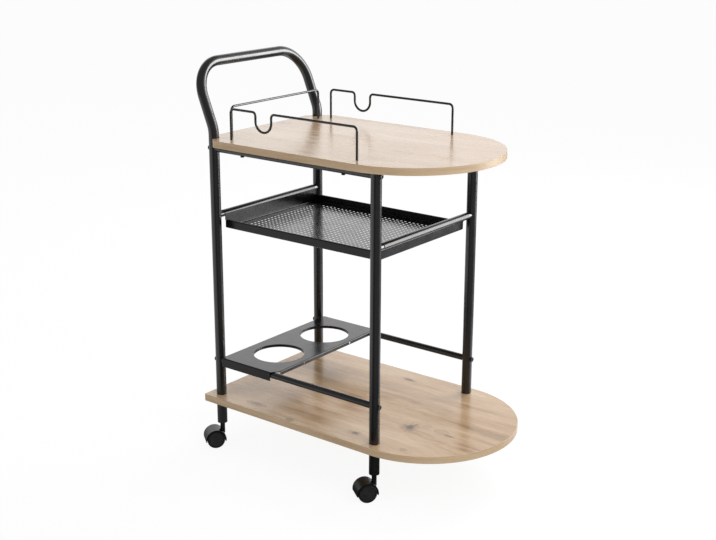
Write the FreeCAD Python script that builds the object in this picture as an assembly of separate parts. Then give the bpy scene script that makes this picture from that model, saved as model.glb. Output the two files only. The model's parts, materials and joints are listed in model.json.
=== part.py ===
import FreeCAD, Part
import math
import os

V = FreeCAD.Vector

# Kitchen cart: +X is the half-round front, -X the handle, -Y the right side, +Z up.
# The origin is on the floor, under the middle of the overall length and width. Sizes are in mm.

# Tube and rail sections
TUBE_D = 22.0
TUBE_WALL = 1.2
RAIL_D = 14.0
RAIL_WALL = 1.0

# Places and lengths of the uprights and rails
POST_PITCH_X = 426.0
POST_PITCH_Y = 342.0
CASTER_H = 56.0
LEG_LEN = 53.0
POST_LEN = 563.0
LOWER_RAIL_RISE = 81.0
TRAY_RAIL_RISE = 410.0

# Boards, with overhangs measured from the post axes
BOARD_T = 15.0
BAND_T = 1.0
BAND_EASE = 0.5
LOWER_REAR = 28.5
LOWER_FRONT = 202.5
LOWER_SIDE = 27.0
LOWER_CORNER_R = 5.0
TOP_REAR = 19.5
TOP_FRONT = 152.5
TOP_SIDE = 25.0
TOP_CORNER_CUT = 40.0
TOP_CORNER_R = 17.0
NOTCH_GAP = 0.4

# Push handle, with its knee measured from the top face of the top board
HANDLE_KNEE = 18.0
HANDLE_KNEE_R = 60.0
HANDLE_LEAN = 22.0
HANDLE_RISE = 132.0
HANDLE_CORNER_R = 72.0
SPIGOT_WALL = 2.0
SPIGOT_DOWN = 37.0
SPIGOT_UP = 19.0

# Wire guards on the top board
WIRE_D = 5.0
GUARD_H = 67.5
GUARD_SET = 10.0
GUARD_R = 9.0
GUARD_INSET = 30.5
GUARD_REAR_FOOT = 45.0
GUARD_LEN = 330.0
DIP_AT = 90.0
DIP_W = 42.7
DIP_FLOOR = 23.0
DIP_R = 8.0
BACK_GUARD_AT = 26.0
BACK_GUARD_LEN = 286.0

# Tray of folded sheet, hung on the tray rails
TRAY_T = 1.0
TRAY_DROP = 30.0
TRAY_LIP_H = 18.5
TRAY_HEM_D = 5.0
TRAY_HEM_TAIL = 1.0
TRAY_SIDE_GAP = 8.0
TRAY_MARGIN = 15.0
HOOK_TAIL = 2.0
PERF_D = 8.4
PERF_PITCH = 18.5

# Bottle rack of folded sheet, laid over the lower rails
RACK_T = 1.5
RACK_GAP = 1.0
RACK_DEPTH = 155.0
RACK_FLANGE_LEN = 141.0
RACK_FLANGE_H = 20.0
RACK_CORNER_Y = 18.8
RACK_LIP_H = 8.5
RACK_BEND_R = 2.5
BOTTLE_D = 112.0
BOTTLE_PITCH = 160.0
BOTTLE_SETBACK = 80.0
BOTTLE_RIM_H = 6.0
LIP_HOLE_D = 5.5

# Fasteners
BOLT_D = 6.0
BOLT_HEAD_D = 11.0
BOLT_HEAD_H = 3.2
BOLT_HEAD_R = 1.4
BOLT_REACH = 15.0
BOLT_HOLE_GAP = 0.2
SOCKET_AF = 4.0
SOCKET_DEEP = 1.8
INSERT_LEN = 20.0
PLUG_LEN = 22.0
STUD_D = 8.0
STUD_REACH = 16.0
STUD_HOLE_GAP = 0.25
CAP_T = 3.0
SCREW_D = 4.0
SCREW_HEAD_D = 8.0
SCREW_HEAD_H = 2.4
SCREW_BITE = 10.0
SCREW_INSET = 80.0

# Twin-wheel casters
WHEEL_D = 40.0
WHEEL_W = 15.0
TREAD_R = 3.0
WHEEL_INNER_R = 1.5
DISC_D = 33.0
HUBCAP_D = 11.0
DISH = 1.2
DISH_SLOPE = 0.6
CAP_SET = 0.3
WEB_W = 8.0
WHEEL_GAP = 0.6
TRAIL = 18.0
TRAIL_ANGLE = 127.0
HOOD_GAP = 1.2
HOOD_T = 2.0
HOOD_SETBACK = 1.0
HOOD_DROP = 10.0
HUB_D = 14.0
BOSS_D = 10.5
BOSS_START = 30.0
STEM_D = 8.0
STEM_SEAT = 18.0
STEM_REACH = 28.0
SOCKET_LEN = 30.0
AXLE_D = 6.0
AXLE_GRIP = 10.5
BORE_GRIP = 11.5
SWIVEL_GAP = 0.2

# Clearances of fits
FIT = 0.05
HANG = 0.3
TINY = 1e-6

# Places worked out from the sizes above
LEG_TOP = CASTER_H + LEG_LEN
LOWER_TOP = LEG_TOP + BOARD_T
POST_TOP = LOWER_TOP + POST_LEN
TOP_TOP = POST_TOP + BOARD_T
HANDLE_BACK = HANDLE_RISE * math.tan(math.radians(HANDLE_LEAN))
REAR_X = (HANDLE_BACK + TUBE_D / 2 - POST_PITCH_X - LOWER_FRONT) / 2
FRONT_X = REAR_X + POST_PITCH_X
SIDE_Y = POST_PITCH_Y / 2
TOP_RAIL_Z = POST_TOP - RAIL_D / 2
LOWER_RAIL_Z = LOWER_TOP + LOWER_RAIL_RISE
TRAY_RAIL_Z = LOWER_TOP + TRAY_RAIL_RISE
BORE_R = TUBE_D / 2 - TUBE_WALL
RAIL_BORE_R = RAIL_D / 2 - RAIL_WALL
BOLT_HOLE_R = BOLT_D / 2 + BOLT_HOLE_GAP
WHEEL_R = WHEEL_D / 2
UP = V(0, 0, 1)
ENDS = {"rear": REAR_X, "front": FRONT_X}
SIDES = {"right": -SIDE_Y, "left": SIDE_Y}

nodes = {}


def unit(vector):
    """The vector at length one."""
    return vector * (1.0 / vector.Length)


def corner_arc(before, corner, after, radius):
    """Start, middle and end of the arc that rounds one corner of a path."""
    a = unit(before - corner)
    b = unit(after - corner)
    half = a.getAngle(b) / 2
    reach = radius / math.tan(half)
    middle = corner + unit(a + b) * (radius / math.sin(half) - radius)
    return corner + a * reach, middle, corner + b * reach


def bent_wire(points, radii, closed=False):
    """Straight runs between the points, with each corner rounded to its radius."""
    count = len(points)
    corners = []
    for i, (point, radius) in enumerate(zip(points, radii)):
        if radius == 0:
            corners.append((point, None, point))
        else:
            corners.append(corner_arc(points[i - 1], point, points[(i + 1) % count], radius))
    edges = []
    for i, (start, middle, end) in enumerate(corners):
        if middle is not None:
            edges.append(Part.Arc(start, middle, end).toShape())
        following = corners[(i + 1) % count][0]
        wanted = closed or i < count - 1
        if wanted and (following - end).Length > TINY:
            edges.append(Part.LineSegment(end, following).toShape())
    return Part.Wire(edges)


def bent_rod(points, radii, diameter):
    """A round rod along a bent path."""
    ring = Part.Wire(Part.makeCircle(diameter / 2, points[0], points[1] - points[0]))
    return bent_wire(points, radii).makePipeShell([ring], True, False)


def cylinder(diameter, start, end):
    """A round bar from one point to another."""
    return Part.makeCylinder(diameter / 2, (end - start).Length, start, end - start)


def pipe(diameter, wall, start, end):
    """A straight tube from one point to another."""
    return cylinder(diameter, start, end).cut(cylinder(diameter - 2 * wall, start, end))


def block(low, high):
    """A box between two opposite corners."""
    size = high - low
    return Part.makeBox(size.x, size.y, size.z, low)


def level_edges(shape, height):
    """The edges of a shape that lie flat at one height."""
    box_of = [(edge, edge.BoundBox) for edge in shape.Edges]
    return [e for e, b in box_of if abs(b.ZMin - height) < TINY * 100 and b.ZLength < TINY * 100]


def corners():
    """Name, X and Y of each upright."""
    return [(f"{end}_{side}", x, y) for end, x in ENDS.items() for side, y in SIDES.items()]


# Boards

def board_outline(rear, front, half_width, cut, corner_r):
    """Plan of a board: half-round front, and rear corners that are cut or only rounded."""
    if cut == 0:
        plan = [(rear, -half_width, corner_r)]
    else:
        plan = [(rear, cut - half_width, corner_r), (rear + cut, -half_width, corner_r)]
    plan = plan + [(front, -half_width, half_width)]
    plan = plan + [(x, -y, r) for x, y, r in reversed(plan)]
    points = [V(x, y, 0) for x, y, r in plan]
    return Part.Face(bent_wire(points, [r for x, y, r in plan], closed=True))


def board_and_band(plan, underside):
    """Core of a board, and the eased edge band round it."""
    plan = plan.copy()
    plan.translate(V(0, 0, underside))
    rise = V(0, 0, BOARD_T)
    full = plan.extrude(rise)
    rims = level_edges(full, underside) + level_edges(full, underside + BOARD_T)
    core = plan.makeOffset2D(-BAND_T).extrude(rise)
    return core, full.makeFillet(BAND_EASE, rims).cut(core)


def guard_feet():
    """Plan points of the wire feet that stand in the top board."""
    y = SIDE_Y + TOP_SIDE - GUARD_INSET
    x = REAR_X + GUARD_REAR_FOOT
    side = [(a, b) for a in (x, x + GUARD_LEN) for b in (-y, y)]
    back = [(REAR_X + BACK_GUARD_AT, b) for b in (-BACK_GUARD_LEN / 2, BACK_GUARD_LEN / 2)]
    return side + back


def screw_places():
    """Plan points of the wood screws, along the top rails."""
    return [(x, y) for x in (REAR_X + SCREW_INSET, FRONT_X - SCREW_INSET) for y in SIDES.values()]


def build_boards():
    """Both boards with their bands, notches and holes."""
    half = SIDE_Y + TOP_SIDE
    plan = board_outline(REAR_X - TOP_REAR, FRONT_X + TOP_FRONT, half, TOP_CORNER_CUT, TOP_CORNER_R)
    for y in SIDES.values():
        ring = Part.makeCircle(TUBE_D / 2 + NOTCH_GAP, V(REAR_X, y, 0))
        plan = plan.cut(Part.Face(Part.Wire(ring)))
    core, band = board_and_band(plan.Faces[0], POST_TOP)
    for x, y in guard_feet():
        top = V(x, y, TOP_TOP)
        core = core.cut(cylinder(WIRE_D + 2 * FIT, top, top - UP * GUARD_SET))
    for x, y in screw_places():
        low = V(x, y, POST_TOP)
        core = core.cut(cylinder(SCREW_D + 2 * FIT, low, low + UP * SCREW_BITE))
    nodes["top_board"] = core
    nodes["top_board_band"] = band
    half = SIDE_Y + LOWER_SIDE
    plan = board_outline(REAR_X - LOWER_REAR, FRONT_X + LOWER_FRONT, half, 0, LOWER_CORNER_R)
    core, band = board_and_band(plan, LEG_TOP)
    for _, x, y in corners():
        core = core.cut(cylinder(STUD_D + 2 * STUD_HOLE_GAP, V(x, y, LEG_TOP), V(x, y, LOWER_TOP)))
    nodes["lower_board"] = core
    nodes["lower_board_band"] = band


# Uprights and handle

def bolt_hole(x, y, z):
    """The drilling for a rail bolt, through both walls of an upright."""
    return cylinder(2 * BOLT_HOLE_R, V(x - TUBE_D, y, z), V(x + TUBE_D, y, z))


def build_uprights():
    """Posts, legs, and the plugs and studs that clamp the lower board between them."""
    feet, heads, studs, caps = [], [], [], []
    for name, x, y in corners():
        post = pipe(TUBE_D, TUBE_WALL, V(x, y, LOWER_TOP), V(x, y, POST_TOP))
        for z in (TOP_RAIL_Z, LOWER_RAIL_Z):
            post = post.cut(bolt_hole(x, y, z))
        end, side = name.split("_")
        nodes[f"{end}_post_{side}"] = post
        nodes[f"{end}_leg_{side}"] = pipe(TUBE_D, TUBE_WALL, V(x, y, CASTER_H), V(x, y, LEG_TOP))
        plug = 2 * (BORE_R - FIT)
        thread = cylinder(STUD_D + 2 * FIT, V(x, y, LEG_TOP - PLUG_LEN), V(x, y, LOWER_TOP + PLUG_LEN))
        feet.append(cylinder(plug, V(x, y, LOWER_TOP), V(x, y, LOWER_TOP + PLUG_LEN)).cut(thread))
        heads.append(cylinder(plug, V(x, y, LEG_TOP - PLUG_LEN), V(x, y, LEG_TOP)).cut(thread))
        studs.append(cylinder(STUD_D, V(x, y, LEG_TOP - STUD_REACH), V(x, y, LOWER_TOP + STUD_REACH)))
        if end == "front":
            caps.append(cylinder(plug, V(x, y, POST_TOP - CAP_T), V(x, y, POST_TOP)))
    nodes["post_foot_plugs"] = Part.makeCompound(feet)
    nodes["leg_head_plugs"] = Part.makeCompound(heads)
    nodes["board_studs"] = Part.makeCompound(studs)
    nodes["post_caps"] = Part.makeCompound(caps)


def build_handle():
    """The push handle, and the sleeves that join it to the rear posts."""
    knee = TOP_TOP + HANDLE_KNEE
    side = [V(REAR_X, 0, POST_TOP), V(REAR_X, 0, knee), V(REAR_X - HANDLE_BACK, 0, knee + HANDLE_RISE)]
    points = [p - V(0, SIDE_Y, 0) for p in side] + [p + V(0, SIDE_Y, 0) for p in reversed(side)]
    radii = [0, HANDLE_KNEE_R, HANDLE_CORNER_R, HANDLE_CORNER_R, HANDLE_KNEE_R, 0]
    outer = bent_rod(points, radii, TUBE_D)
    nodes["handle"] = outer.cut(bent_rod(points, radii, 2 * BORE_R))
    sleeves = []
    for y in SIDES.values():
        low = V(REAR_X, y, POST_TOP - SPIGOT_DOWN)
        sleeve = pipe(2 * (BORE_R - FIT), SPIGOT_WALL, low, V(REAR_X, y, POST_TOP + SPIGOT_UP))
        sleeves.append(sleeve.cut(bolt_hole(REAR_X, y, TOP_RAIL_Z)))
    nodes["handle_spigots"] = Part.makeCompound(sleeves)


# Rails with their bolts

def rail_bolt(post_axis, along):
    """A button-head bolt that runs from outside a post into a rail's end."""
    seat = post_axis - along * (TUBE_D / 2)
    top = seat - along * BOLT_HEAD_H
    head = cylinder(BOLT_HEAD_D, seat, top)
    rim = [e for e in head.Edges if (e.CenterOfMass - top).Length < TINY * 100]
    head = head.makeFillet(BOLT_HEAD_R, rim)
    across = SOCKET_AF / math.sqrt(3)
    turn = FreeCAD.Rotation(UP, along)
    flats = [top + turn.multVec(V(across * math.cos(a), across * math.sin(a), 0))
             for a in (math.radians(60 * i) for i in range(6))]
    key = Part.Face(Part.makePolygon(flats + flats[:1])).extrude(along * SOCKET_DEEP)
    shank = cylinder(BOLT_D, seat, post_axis + along * (TUBE_D / 2 + BOLT_REACH))
    return head.cut(key).fuse(shank).removeSplitter()


def saddled_rail(start, end, gap):
    """A rail between two post axes, with its ends cut to sit round the posts."""
    tall = V(0, 0, RAIL_D)
    rail = pipe(RAIL_D, RAIL_WALL, start, end)
    for post in (start, end):
        rail = rail.cut(cylinder(TUBE_D + 2 * gap, post - tall, post + tall))
    return rail


def rail_fixings(start, end):
    """The two inserts of a bolted rail, and its two bolts."""
    along = unit(end - start)
    tall = V(0, 0, RAIL_D)
    inserts, bolts = [], []
    for post, way in ((start, along), (end, -along)):
        inner = post + way * (TUBE_D / 2 + INSERT_LEN)
        body = pipe(2 * (RAIL_BORE_R - FIT), RAIL_BORE_R - 2 * FIT - BOLT_D / 2, post, inner)
        inserts.append(body.cut(cylinder(TUBE_D + 2 * FIT, post - tall, post + tall)))
        bolts.append(rail_bolt(post, way))
    return inserts, bolts


def build_rails():
    """The bolted side rails, the welded tray rails, and the screws that hold the top board on the top rails."""
    inserts, bolts, screws = [], [], []
    for side, y in SIDES.items():
        for level, z in (("top", TOP_RAIL_Z), ("lower", LOWER_RAIL_Z)):
            start, end = V(REAR_X, y, z), V(FRONT_X, y, z)
            nodes[f"{level}_rail_{side}"] = saddled_rail(start, end, FIT)
            plugs, pair = rail_fixings(start, end)
            inserts += plugs
            bolts += pair
    for end, x in ENDS.items():
        nodes[f"tray_rail_{end}"] = saddled_rail(V(x, -SIDE_Y, TRAY_RAIL_Z), V(x, SIDE_Y, TRAY_RAIL_Z), 0)
    for x, y in screw_places():
        side = "right" if y < 0 else "left"
        seat = V(x, y, POST_TOP - RAIL_D)
        tip = V(x, y, POST_TOP + SCREW_BITE - TINY)
        hole = cylinder(SCREW_D + 2 * FIT, seat - UP, tip)
        nodes[f"top_rail_{side}"] = nodes[f"top_rail_{side}"].cut(hole)
        head = cylinder(SCREW_HEAD_D, seat, seat - UP * SCREW_HEAD_H)
        screws.append(head.fuse(cylinder(SCREW_D, seat, tip)).removeSplitter())
    nodes["rail_inserts"] = Part.makeCompound(inserts)
    nodes["rail_bolts"] = Part.makeCompound(bolts)
    nodes["board_screws"] = Part.makeCompound(screws)


# Wire guards

def build_guards():
    """Two side guards with a dip for a tool handle, and a plain one at the back."""
    foot = TOP_TOP - GUARD_SET
    crest = TOP_TOP + GUARD_H - WIRE_D / 2
    floor = TOP_TOP + DIP_FLOOR + WIRE_D / 2
    dip_r = DIP_W / 2
    rear = REAR_X + GUARD_REAR_FOOT
    dip = rear + DIP_AT
    front = rear + GUARD_LEN
    line = [(rear, foot, 0), (rear, crest, GUARD_R), (dip - dip_r, crest, DIP_R), (dip - dip_r, floor, dip_r),
            (dip + dip_r, floor, dip_r), (dip + dip_r, crest, DIP_R), (front, crest, GUARD_R), (front, foot, 0)]
    radii = [r for x, z, r in line]
    for side, sign in (("right", -1), ("left", 1)):
        y = sign * (SIDE_Y + TOP_SIDE - GUARD_INSET)
        nodes[f"side_guard_{side}"] = bent_rod([V(x, y, z) for x, z, r in line], radii, WIRE_D)
    x = REAR_X + BACK_GUARD_AT
    half = BACK_GUARD_LEN / 2
    points = [V(x, -half, foot), V(x, -half, crest), V(x, half, crest), V(x, half, foot)]
    nodes["back_guard"] = bent_rod(points, [0, GUARD_R, GUARD_R, 0], WIRE_D)


# Tray

def grid_places(low, high):
    """Places of the perforation along one direction, centred between two ends."""
    count = int((high - low) // PERF_PITCH)
    first = (low + high - (count - 1) * PERF_PITCH) / 2
    return [first + i * PERF_PITCH for i in range(count)]


def perforated_sheet(low, high):
    """A sheet with a square grid of round holes, kept whole along its edges."""
    rim = [V(low.x, low.y, low.z), V(high.x, low.y, low.z), V(high.x, high.y, low.z), V(low.x, high.y, low.z)]
    wires = [Part.makePolygon(rim + rim[:1])]
    for x in grid_places(low.x, high.x):
        for y in grid_places(low.y, high.y):
            wires.append(Part.Wire(Part.makeCircle(PERF_D / 2, V(x, y, low.z), -UP)))
    return Part.Face(wires).extrude(V(0, 0, high.z - low.z))


def rolled_edge(axis, side, radius, wall, tail):
    """A wall of the tray up to an axis, the half roll over that axis, and the tail on its other side."""
    start, end = axis
    roll = pipe(2 * radius, TRAY_T, start, end)
    wide = side * (2 * radius)
    below = UP * (2 * radius)
    pieces = [roll.cut(spanned(start - wide - below, end + wide))]
    for way, drop in ((1, wall), (-1, tail)):
        outer, inner = side * (way * radius), side * (way * (radius - TRAY_T))
        pieces.append(spanned(start + outer - UP * drop, end + inner))
    return pieces


def spanned(first, second):
    """A block between any two of its opposite corners."""
    low = V(*(min(pair) for pair in zip(first, second)))
    return block(low, V(*(max(pair) for pair in zip(first, second))))


def build_tray():
    """The hung tray: pan with lips and hooks, and its perforated floor."""
    floor = TRAY_RAIL_Z - TRAY_DROP
    reach = RAIL_D / 2 + HANG
    half = SIDE_Y - TUBE_D / 2 - TRAY_SIDE_GAP
    low = V(REAR_X + reach, -half, floor)
    high = V(FRONT_X - reach, half, floor + TRAY_T)
    inset = V(TRAY_MARGIN, TRAY_MARGIN, 0)
    window = block(low + inset, high - inset)
    pan = [block(low, high).cut(window)]
    bead = TRAY_HEM_D / 2
    for sign in (-1, 1):
        axis = [V(x, sign * (half - bead), floor + TRAY_LIP_H - bead) for x in (low.x, high.x)]
        pan += rolled_edge(axis, V(0, sign, 0), bead, TRAY_LIP_H - bead, TRAY_HEM_TAIL)
    for rail_x, way in ((REAR_X, 1), (FRONT_X, -1)):
        axis = [V(rail_x, y, TRAY_RAIL_Z) for y in (-half, half)]
        pan += rolled_edge(axis, V(way, 0, 0), reach + TRAY_T, TRAY_DROP, HOOK_TAIL)
    nodes["tray_pan"] = pan[0].multiFuse(pan[1:]).removeSplitter()
    nodes["tray_floor"] = perforated_sheet(low + inset, high - inset)


# Bottle rack

def folded(section, radii, sweep):
    """A folded sheet: its closed section with rounded bends, drawn out along a line."""
    return Part.Face(bent_wire(section, radii, closed=True)).extrude(sweep)


def build_rack():
    """The bottle rack: plate with two rimmed holes, side flanges and a front lip."""
    under = LOWER_RAIL_Z + RAIL_D / 2 + HANG
    top = under + RACK_T
    half = SIDE_Y + RAIL_D / 2 + HANG + RACK_T
    rear = REAR_X + TUBE_D / 2 + RACK_GAP
    bend = rear + RACK_FLANGE_LEN
    front = rear + RACK_DEPTH
    lip = half - RACK_CORNER_Y
    flat = half - RACK_BEND_R
    inner_r = RACK_BEND_R - RACK_T
    hem = top - RACK_FLANGE_H
    right = [(-half, hem, 0), (-half, top, RACK_BEND_R)]
    inside = [(half - RACK_T, hem, 0), (half - RACK_T, under, inner_r)]
    line = right + [(-y, z, r) for y, z, r in reversed(right)]
    line += inside + [(-y, z, r) for y, z, r in reversed(inside)]
    plate = folded([V(rear, y, z) for y, z, r in line], [r for y, z, r in line], V(RACK_FLANGE_LEN, 0, 0))
    back = front - RACK_BEND_R
    hem = top - RACK_LIP_H
    line = [(back, top, 0), (front, top, RACK_BEND_R), (front, hem, 0), (front - RACK_T, hem, 0),
            (front - RACK_T, under, inner_r), (back, under, 0)]
    edge = folded([V(x, -lip, z) for x, z, r in line], [r for x, z, r in line], V(0, 2 * lip, 0))
    points = [V(x, y, under) for x, y in ((bend, -flat), (back, -lip), (back, lip), (bend, flat))]
    nose = Part.Face(Part.makePolygon(points + points[:1])).extrude(V(0, 0, RACK_T))
    rack = plate.multiFuse([nose, edge]).removeSplitter()
    for y in (-BOTTLE_PITCH / 2, BOTTLE_PITCH / 2):
        centre = V(rear + BOTTLE_SETBACK, y, under)
        rim = centre + UP * (RACK_T - BOTTLE_RIM_H)
        rack = rack.fuse(cylinder(BOTTLE_D + 2 * RACK_T, rim, centre))
        rack = rack.cut(cylinder(BOTTLE_D, rim - UP, centre + UP * (RACK_T + 1))).removeSplitter()
        middle = V(front, y, (under + hem) / 2)
        rack = rack.cut(cylinder(LIP_HOLE_D, middle - V(2 * RACK_T, 0, 0), middle + V(RACK_T, 0, 0)))
    nodes["bottle_rack"] = rack


# Casters, first drawn with the stem on the Z axis and the wheels trailing along +X

def around_axle(radius, degrees):
    """A point beside the axle, at a radius and an angle."""
    angle = math.radians(degrees)
    return V(TRAIL + radius * math.cos(angle), 0, WHEEL_R + radius * math.sin(angle))


def caster_housing():
    """Hood, web between the wheels, and boss for the stem, as one moulding."""
    inner = WHEEL_R + HOOD_GAP
    outer = inner + HOOD_T
    low, high = -HOOD_DROP, 180 + HOOD_DROP
    width = WEB_W + 2 * (WHEEL_GAP + WHEEL_W - HOOD_SETBACK)
    arcs = [Part.Arc(around_axle(outer, low), around_axle(outer, 90), around_axle(outer, high)),
            Part.Arc(around_axle(inner, high), around_axle(inner, 90), around_axle(inner, low))]
    ends = [Part.LineSegment(around_axle(outer, high), around_axle(inner, high)),
            Part.LineSegment(around_axle(inner, low), around_axle(outer, low))]
    hood = Part.Face(Part.Wire([c.toShape() for c in (arcs[0], ends[0], arcs[1], ends[1])]))
    hood.translate(V(0, -width / 2, 0))
    hood = hood.extrude(V(0, width, 0))
    chord = Part.LineSegment(around_axle(outer, high), around_axle(outer, low))
    web = Part.Face(Part.Wire([arcs[0].toShape(), chord.toShape()]))
    web.translate(V(0, -WEB_W / 2, 0))
    web = web.extrude(V(0, WEB_W, 0))
    axle = V(TRAIL, 0, WHEEL_R)
    hub = cylinder(HUB_D, axle - V(0, WEB_W / 2, 0), axle + V(0, WEB_W / 2, 0))
    well = cylinder(2 * inner, axle - V(0, width, 0), axle + V(0, width, 0)).cut(
        block(V(-WHEEL_D, -WEB_W / 2, -WHEEL_D), V(2 * WHEEL_D, WEB_W / 2, 2 * WHEEL_D)))
    boss = cylinder(BOSS_D, V(0, 0, BOSS_START), V(0, 0, CASTER_H - SWIVEL_GAP)).cut(well)
    housing = hood.multiFuse([web, hub, boss]).removeSplitter()
    seat = V(0, 0, CASTER_H - SWIVEL_GAP - STEM_SEAT)
    housing = housing.cut(cylinder(STEM_D + 2 * FIT, seat, V(0, 0, CASTER_H)))
    return housing.cut(cylinder(AXLE_D + 2 * FIT, axle - V(0, WEB_W, 0), axle + V(0, WEB_W, 0)))


def caster_wheel(side):
    """One wheel, with a closed dished face outside and a blind bore inside."""
    bore = AXLE_D / 2 + FIT
    disc = DISC_D / 2
    cap = HUBCAP_D / 2
    floor = WHEEL_W - DISH
    face = WHEEL_W - CAP_SET
    line = [(bore, 0, 0), (WHEEL_R, 0, WHEEL_INNER_R), (WHEEL_R, WHEEL_W, TREAD_R), (disc, WHEEL_W, 0),
            (disc - DISH_SLOPE, floor, 0), (cap + DISH_SLOPE, floor, 0), (cap, face, 0), (0, face, 0),
            (0, BORE_GRIP, 0), (bore, BORE_GRIP, 0)]
    near = WEB_W / 2 + WHEEL_GAP
    points = [V(TRAIL + r, side * (near + s), WHEEL_R) for r, s, _ in line]
    profile = Part.Face(bent_wire(points, [r for _, _, r in line], closed=True))
    return profile.revolve(V(TRAIL, 0, WHEEL_R), V(0, 1, 0), 360)


def build_casters():
    """Four casters turned as they trail, and the sleeves that hold their stems."""
    sockets = []
    grip = V(0, WEB_W / 2 + WHEEL_GAP + AXLE_GRIP, 0)
    axle = V(TRAIL, 0, WHEEL_R)
    foot = V(0, 0, CASTER_H)
    pieces = {
        "stem": cylinder(STEM_D, foot - UP * (SWIVEL_GAP + STEM_SEAT), foot + UP * STEM_REACH),
        "housing": caster_housing(),
        "axle": cylinder(AXLE_D, axle - grip, axle + grip),
        "wheel_a": caster_wheel(-1),
        "wheel_b": caster_wheel(1),
    }
    for name, x, y in corners():
        for piece, shape in pieces.items():
            turned = shape.copy()
            turned.rotate(V(0, 0, 0), UP, math.copysign(TRAIL_ANGLE, y))
            turned.translate(V(x, y, 0))
            nodes[f"caster_{name}_{piece}"] = turned
        low = V(x, y, CASTER_H)
        sleeve = cylinder(2 * (BORE_R - FIT), low, low + UP * SOCKET_LEN)
        sockets.append(sleeve.cut(cylinder(STEM_D + 2 * FIT, low, low + UP * SOCKET_LEN)))
    nodes["caster_sockets"] = Part.makeCompound(sockets)


build_boards()
build_uprights()
build_handle()
build_rails()
build_guards()
build_tray()
build_rack()
build_casters()

os.makedirs("parts", exist_ok=True)
for node, shape in nodes.items():
    print(node, len(shape.Solids), round(shape.Volume, 1))
    shape.exportStep(f"parts/{node}.step")
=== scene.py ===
"""Dresses the kitchen cart: oak-look boards, black tube frame, folded sheet, casters and a studio."""

import json
import logging
import math
from collections.abc import Callable, Iterator, Sequence
from contextlib import contextmanager
from dataclasses import dataclass
from enum import Enum

import bmesh
import bpy
from mathutils import Matrix, Vector

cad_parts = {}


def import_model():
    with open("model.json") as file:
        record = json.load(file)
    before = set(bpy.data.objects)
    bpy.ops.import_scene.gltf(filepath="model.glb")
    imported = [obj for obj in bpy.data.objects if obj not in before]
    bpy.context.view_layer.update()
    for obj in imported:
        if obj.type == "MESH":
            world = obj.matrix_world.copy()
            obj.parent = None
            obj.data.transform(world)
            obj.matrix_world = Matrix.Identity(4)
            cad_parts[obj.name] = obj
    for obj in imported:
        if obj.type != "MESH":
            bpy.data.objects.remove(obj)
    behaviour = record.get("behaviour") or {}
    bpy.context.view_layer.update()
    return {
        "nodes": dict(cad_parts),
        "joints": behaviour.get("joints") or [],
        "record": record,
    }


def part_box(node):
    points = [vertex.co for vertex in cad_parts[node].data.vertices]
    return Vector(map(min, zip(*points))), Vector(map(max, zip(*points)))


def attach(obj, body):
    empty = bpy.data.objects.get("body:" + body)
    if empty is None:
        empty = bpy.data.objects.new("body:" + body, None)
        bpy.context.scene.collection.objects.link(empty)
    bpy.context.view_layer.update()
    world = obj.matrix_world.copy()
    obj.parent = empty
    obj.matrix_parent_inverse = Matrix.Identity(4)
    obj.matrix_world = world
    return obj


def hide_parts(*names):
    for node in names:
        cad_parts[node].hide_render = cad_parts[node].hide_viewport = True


LOG = logging.getLogger("kitchen_cart")
TINY = 1e-5
MIX_SHARE, MIX_FIRST, MIX_SECOND, MIX_RESULT = 0, 6, 7, 2
CORNERS = tuple(f"{end}_{side}" for end in ("rear", "front") for side in ("right", "left"))

Colour = tuple[float, float, float]
Triple = tuple[float, float, float]
Socket = bpy.types.NodeSocket


class Grain(Enum):
    """The way that the wood's grain runs on a piece, as the stretch of the pattern along X, Y and Z."""

    ALONG_BOARD = (1.0, 14.0, 14.0)
    ALONG_EDGE = (1.0, 1.0, 30.0)


class LampKind(Enum):
    """A softbox lights the surfaces, and a panel only shows in their gloss."""

    SOFTBOX = "softbox"
    PANEL = "panel"


class Part(Enum):
    """What is chosen in edit mode, with its list in the mesh."""

    VERT = "verts"
    EDGE = "edges"
    FACE = "faces"


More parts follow.
